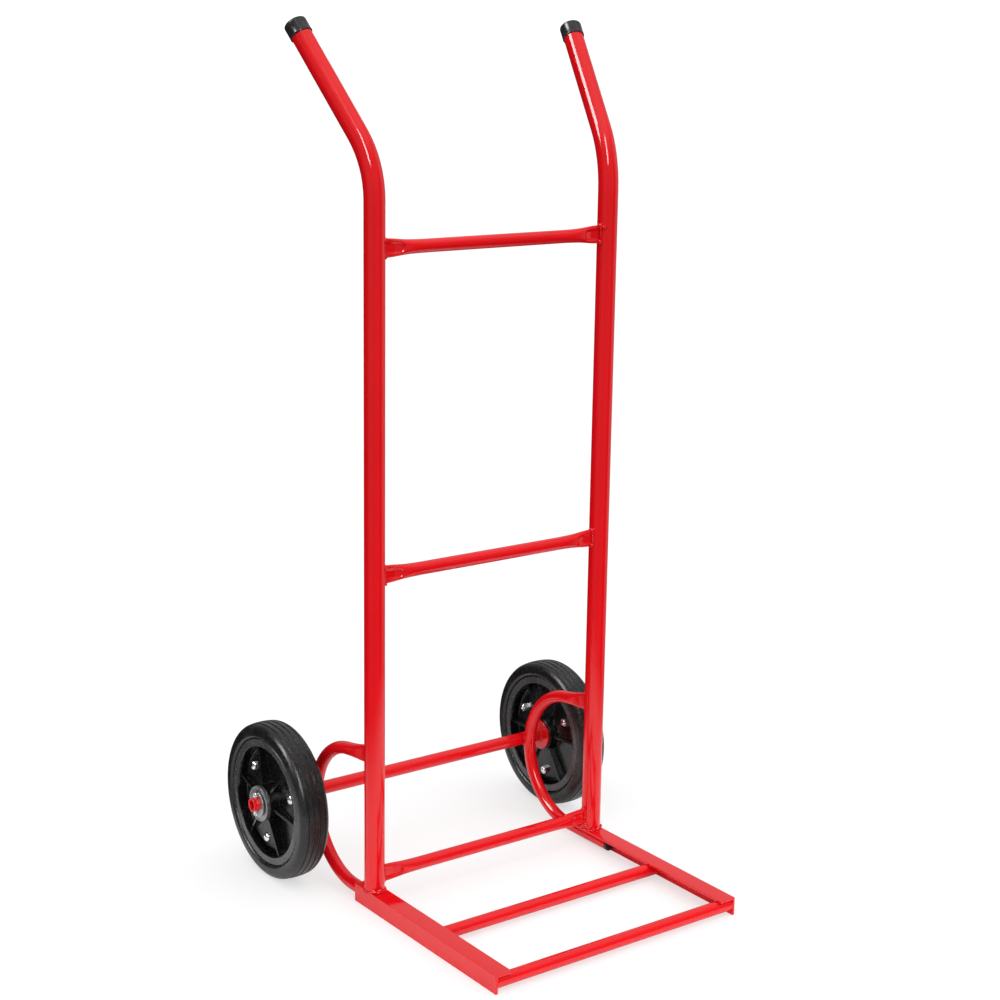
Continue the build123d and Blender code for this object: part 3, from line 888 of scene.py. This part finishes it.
def handleEnd(side):
    lean, splay = math.radians(cap["lean"]), math.radians(cap["splay"])
    setback = cap["bendRadius"] * math.tan(lean / 2)
    run = setback + cap["straight"]
    heading = Vector((side * math.sin(splay) * math.sin(lean), math.cos(splay) * math.sin(lean), math.cos(lean)))
    foot = Vector((side * lines["uprightX"], lines["uprightY"], cap["bendStart"] + setback))
    return (foot + heading * run) * mm, heading


def addCaps():
    for sideName, side in sides.items():
        place, heading = handleEnd(side)
        bm = bmesh.new()
        turnMiddle = (cap["end"] - 0.25 - cap["shoulder"], cap["outer"] - cap["shoulder"])
        profile = [(0.0, 0.0), (0.0, cap["inner"])] + cap["profile"]
        profile += arcPoints(turnMiddle, cap["shoulder"], 90, 12, 8)
        profile += [(cap["end"] - 0.12, 9.0), (cap["end"] - 0.03, 5.0), (cap["end"], 0.0)]
        lathe(bm, profile, place, heading, cap["steps"])
        mesh = toMesh("handleCap", bm)
        addPiece("handleCap." + sideName, mesh, "cap_vinyl", replaced=("handle_cap_" + sideName,), sharp=60)


addCaps()
print("caps made")


# a moulded or turned CAD piece with its corners taken off
def softened(node, name, slot, body, width, angle=32, segments=2):
    bm = bmesh.new()
    bm.from_mesh(nodes[node].data)
    bmesh.ops.remove_doubles(bm, verts=bm.verts, dist=2e-6)
    bmesh.ops.dissolve_limit(bm, angle_limit=math.radians(0.6), verts=bm.verts, edges=bm.edges)
    piece = addPiece(name, toMesh(name, bm), slot, body, (node,), sharp=angle)
    rounded = piece.modifiers.new("corners", "BEVEL")
    rounded.width = width * mm
    rounded.segments = segments
    rounded.limit_method = "ANGLE"
    rounded.angle_limit = math.radians(angle)
    rounded.use_clamp_overlap = True
    rounded.harden_normals = True


corners = {"hub": 0.45, "bush": 0.5, "angle": 0.9}  # widths, mm
for sideName in sides:
    wheelBody = "wheel_" + sideName
    softened("hub_outer_half_" + sideName, "hubOuterHalf." + sideName, "hub_plastic", wheelBody, corners["hub"])
    softened("hub_inner_half_" + sideName, "hubInnerHalf." + sideName, "hub_plastic", wheelBody, corners["hub"])
    softened("wheel_bush_" + sideName, "wheelBush." + sideName, "bush_steel", wheelBody, corners["bush"], segments=3)
    softened("toe_angle_" + sideName, "toeAngle." + sideName, "frame_paint", "frame", corners["angle"], segments=3)
print("hubs and angles softened")


# bolts and nuts stand where the CAD ones do
fastener = {
    "headProfile": [(0.0, 6.25), (0.9, 6.25), (1.5, 6.1), (2.3, 5.55), (3.1, 4.6), (3.65, 3.3), (3.93, 1.8), (4.0, 0.0)],
    "headHeight": 4.0,
    "shankRadius": 3.0,
    "tipRadius": 2.3,
    "nutHalf": 5.0,
    "nutHeight": 5.0,
    "threadPitch": 1.0,
    "tip": 1.5,
}


def looseBoxes(node):
    # low and high corner of each separate solid in a node
    bm = bmesh.new()
    bm.from_mesh(nodes[node].data)
    bmesh.ops.remove_doubles(bm, verts=bm.verts, dist=2e-6)
    left = set(bm.verts)
    boxes = []
    while left:
        reached = [left.pop()]
        group = list(reached)
        while reached:
            for edge in reached.pop().link_edges:
                for vert in edge.verts:
                    if vert in left:
                        left.remove(vert)
                        reached.append(vert)
                        group.append(vert)
        low = Vector(min(v.co[i] for v in group) for i in range(3))
        high = Vector(max(v.co[i] for v in group) for i in range(3))
        boxes.append((low, high))
    bm.free()
    return sorted(boxes, key=lambda box: (round(box[0].y, 4), box[0].z))


def addNut(bm, foot, axis, turn):
    # hexagon whose corners are turned off at both faces, with the hole through it
    axis = Vector(axis)
    across = axis.orthogonal().normalized()
    up = axis.cross(across)
    steps = 72
    rings = [[], [], [], [], [], []]
    height, half = fastener["nutHeight"], fastener["nutHalf"]
    for i in range(steps):
        spin = 2 * math.pi * i / steps
        edge = half / math.cos((spin + math.pi / 6) % (math.pi / 3) - math.pi / 6)
        drop = max(0.0, edge - half * 0.97) * math.tan(math.radians(30))
        flat = min(edge, half * 0.97)
        out = across * math.cos(spin + turn) + up * math.sin(spin + turn)
        bore = fastener["shankRadius"] + 0.03
        for ring, (along, radius) in zip(
            rings, ((0.0, bore), (0.0, flat), (drop, edge), (height - drop, edge), (height, flat), (height, bore))
        ):
            ring.append(foot + (axis * along + out * radius) * mm)
    made = [[bm.verts.new(point) for point in ring] for ring in rings]
    for ring, following in zip(made, made[1:] + made[:1]):
        for i in range(steps):
            j = (i + 1) % steps
            bm.faces.new((ring[i], ring[j], following[j], following[i]))


def addFasteners():
    for sideName, side in sides.items():
        bolts = bmesh.new()
        for low, high in looseBoxes("hub_bolts_" + sideName):
            middle = (low + high) / 2
            headTop = Vector((high.x if side > 0 else low.x, middle.y, middle.z))
            headFoot = headTop - Vector((side * fastener["headHeight"] * mm, 0, 0))
            length = (high.x - low.x) / mm - fastener["headHeight"]
            thread = []
            turns = int((fastener["tip"] + 0.4) / fastener["threadPitch"] * 2) + 1
            for i in range(turns * 2):
                along = -length + 0.45 + i * fastener["threadPitch"] / 2
                thread.append((along, fastener["shankRadius"] - (0.5 if i % 2 else 0.02)))
            plain = [(thread[-1][0] + 0.5, fastener["shankRadius"]), (0.0, fastener["shankRadius"])]
            profile = [(-length, 0.0), (-length, fastener["tipRadius"])] + thread + plain + fastener["headProfile"]
            lathe(bolts, profile, headFoot, (side, 0, 0), 48)
        wheelBody = "wheel_" + sideName
        mesh = toMesh("hubBolts", bolts)
        addPiece("hubBolts." + sideName, mesh, "zinc_steel", wheelBody, ("hub_bolts_" + sideName,))
        nuts = bmesh.new()
        for i, (low, high) in enumerate(looseBoxes("hub_nuts_" + sideName)):
            middle = (low + high) / 2
            foot = Vector((low.x if side > 0 else high.x, middle.y, middle.z))
            addNut(nuts, foot, (side, 0, 0), 0.4 + 0.7 * i)
        mesh = toMesh("hubNuts", nuts)
        addPiece("hubNuts." + sideName, mesh, "zinc_steel", wheelBody, ("hub_nuts_" + sideName,), sharp=25)


addFasteners()
print("bolts and nuts made")

# split pins: one wire folded at the eye, its legs opened below the axle
pin = {
    "wire": 0.95,
    "wireFlat": 1.35,  # the wire is this much wider along the axle
    "eye": 2.7,
    "eyeRise": 12.25,
    "shankHalf": 0.86,
    "fork": -10.0,
    "legLength": 5.0,
    "legSpread": (24.0, 19.0),
}


def addPins():
    for sideName in sides:
        low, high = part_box("split_pin_" + sideName)
        pinX = (low.x + high.x) / 2 / mm
        half, leg = pin["shankHalf"], pin["legLength"]
        spread = [math.radians(turn) for turn in pin["legSpread"]]
        topRise = pin["eyeRise"] - pin["eye"] - 0.4
        ends = []
        for way, turn in zip((-1, 1), spread):
            tip = Vector((way * (half + leg * math.sin(turn)), pin["fork"] - leg * math.cos(turn)))
            ends.append((tip, Vector((way * half, pin["fork"])), Vector((way * half, topRise))))
        (tip, fork, top), (farTip, farFork, farTop) = ends
        lowTurn = math.degrees(math.acos(half / pin["eye"]))
        route = [tip.lerp(fork, i / 8) for i in range(8)]
        route += [fork.lerp(top, i / 12) for i in range(12)]
        route += [Vector(place) for place in arcPoints((0, pin["eyeRise"]), pin["eye"], 180 + lowTurn, -lowTurn, 30)]
        route += [farTop.lerp(farFork, i / 12) for i in range(1, 12)]
        route += [farFork.lerp(farTip, i / 8) for i in range(9)]
        bm = bmesh.new()
        rings = []
        for i, place in enumerate(route):
            ahead = route[min(i + 1, len(route) - 1)]
            behind = route[max(i - 1, 0)]
            heading = (ahead - behind).normalized()
            middle = Vector((pinX, lines["axleY"] + place.x, lines["axleZ"] + place.y))
            outward = Vector((0, -heading.y, heading.x))
            flat = Vector((pin["wireFlat"], 0, 0))
            ring = []
            for k in range(16):
                turn = 2 * math.pi * k / 16
                ring.append((middle + (flat * math.cos(turn) + outward * math.sin(turn)) * pin["wire"]) * mm)
            rings.append(ring)
        skinRings(bm, rings)
        mesh = toMesh("splitPin", bm)
        addPiece("splitPin." + sideName, mesh, "zinc_steel", replaced=("split_pin_" + sideName,), sharp=60)


addPins()
print("pins made")
